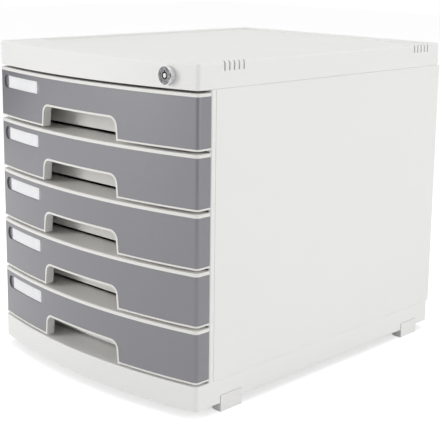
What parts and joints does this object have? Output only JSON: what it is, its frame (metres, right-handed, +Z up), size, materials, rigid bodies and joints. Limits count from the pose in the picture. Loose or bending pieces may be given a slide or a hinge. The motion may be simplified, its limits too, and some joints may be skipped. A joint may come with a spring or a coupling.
{
  "type": "desktop drawer cabinet",
  "caption": "Lockable desktop drawer cabinet with bowed drawer fronts, finger notches and label holders, for paper and folders.",
  "frame": {"origin": "under the middle of the cabinet, on the surface that it stands on", "axes": "+Z up, -Y towards the drawer fronts, +X to the right as seen from the front"},
  "size_m": [0.3016, 0.3924, 0.3326],
  "materials": {
    "housing_plastic": "warm white, fine satin grain",
    "drawer_plastic": "warm white, smooth satin",
    "face_plastic": "mid grey, satin",
    "foot_plastic": "warm white, satin",
    "label_card": "bare white paper card",
    "clear_window": "thin clear plastic strip",
    "lock_metal": "plated die-cast zinc, satin",
    "lock_face_metal": "dull plated plug with a tubular keyway",
    "bar_steel": "zinc plated pressing",
    "screw_steel": "zinc plated"
  },
  "bodies": {
    "cabinet": {"top_cover": "housing_plastic", "base": "housing_plastic", "side_panel_left": "housing_plastic", "side_panel_right": "housing_plastic", "back_panel": "housing_plastic", "foot_front_left": "foot_plastic", "foot_front_right": "foot_plastic", "foot_rear_left": "foot_plastic", "foot_rear_right": "foot_plastic", "cover_screws": "screw_steel", "base_screws": "screw_steel", "lock_barrel": "lock_metal", "lock_nut": "lock_metal"},
    "lock_core": {"lock_plug": "lock_face_metal", "lock_cam": "bar_steel", "cam_screw": "screw_steel"},
    "lock_bar_body": {"lock_bar": "bar_steel", "lock_bar_teeth": "bar_steel"},
    "drawer_1": {"drawer_1_tray": "drawer_plastic", "drawer_1_catch": "drawer_plastic", "drawer_1_face": "face_plastic", "drawer_1_label": "label_card", "drawer_1_window": "clear_window"},
    "drawer_2": {"drawer_2_tray": "drawer_plastic", "drawer_2_catch": "drawer_plastic", "drawer_2_face": "face_plastic", "drawer_2_label": "label_card", "drawer_2_window": "clear_window"},
    "drawer_3": {"drawer_3_tray": "drawer_plastic", "drawer_3_catch": "drawer_plastic", "drawer_3_face": "face_plastic", "drawer_3_label": "label_card", "drawer_3_window": "clear_window"},
    "drawer_4": {"drawer_4_tray": "drawer_plastic", "drawer_4_catch": "drawer_plastic", "drawer_4_face": "face_plastic", "drawer_4_label": "label_card", "drawer_4_window": "clear_window"},
    "drawer_5": {"drawer_5_tray": "drawer_plastic", "drawer_5_catch": "drawer_plastic", "drawer_5_face": "face_plastic", "drawer_5_label": "label_card", "drawer_5_window": "clear_window"}
  },
  "joints": [
    {"name": "drawer_1_slide", "type": "slide", "parent": "cabinet", "child": "drawer_1", "axis": [0, -1, 0], "range_m": [0, 0.24]},
    {"name": "drawer_2_slide", "type": "slide", "parent": "cabinet", "child": "drawer_2", "axis": [0, -1, 0], "range_m": [0, 0.24]},
    {"name": "drawer_3_slide", "type": "slide", "parent": "cabinet", "child": "drawer_3", "axis": [0, -1, 0], "range_m": [0, 0.24]},
    {"name": "drawer_4_slide", "type": "slide", "parent": "cabinet", "child": "drawer_4", "axis": [0, -1, 0], "range_m": [0, 0.24]},
    {"name": "drawer_5_slide", "type": "slide", "parent": "cabinet", "child": "drawer_5", "axis": [0, -1, 0], "range_m": [0, 0.24]},
    {"name": "lock_turn", "type": "hinge", "parent": "cabinet", "child": "lock_core", "pos_m": [0.118, -0.175, 0.31966], "axis": [0, 1, 0], "range_deg": [0, 90]},
    {"name": "lock_bar_lift", "type": "slide", "parent": "cabinet", "child": "lock_bar_body", "axis": [0, 0, -1], "range_m": [0, 0.0072]}
  ],
  "couplings": [
    {"joint": "lock_bar_lift", "follows": "lock_turn", "m_per_rad": 0.0045016}
  ]
}
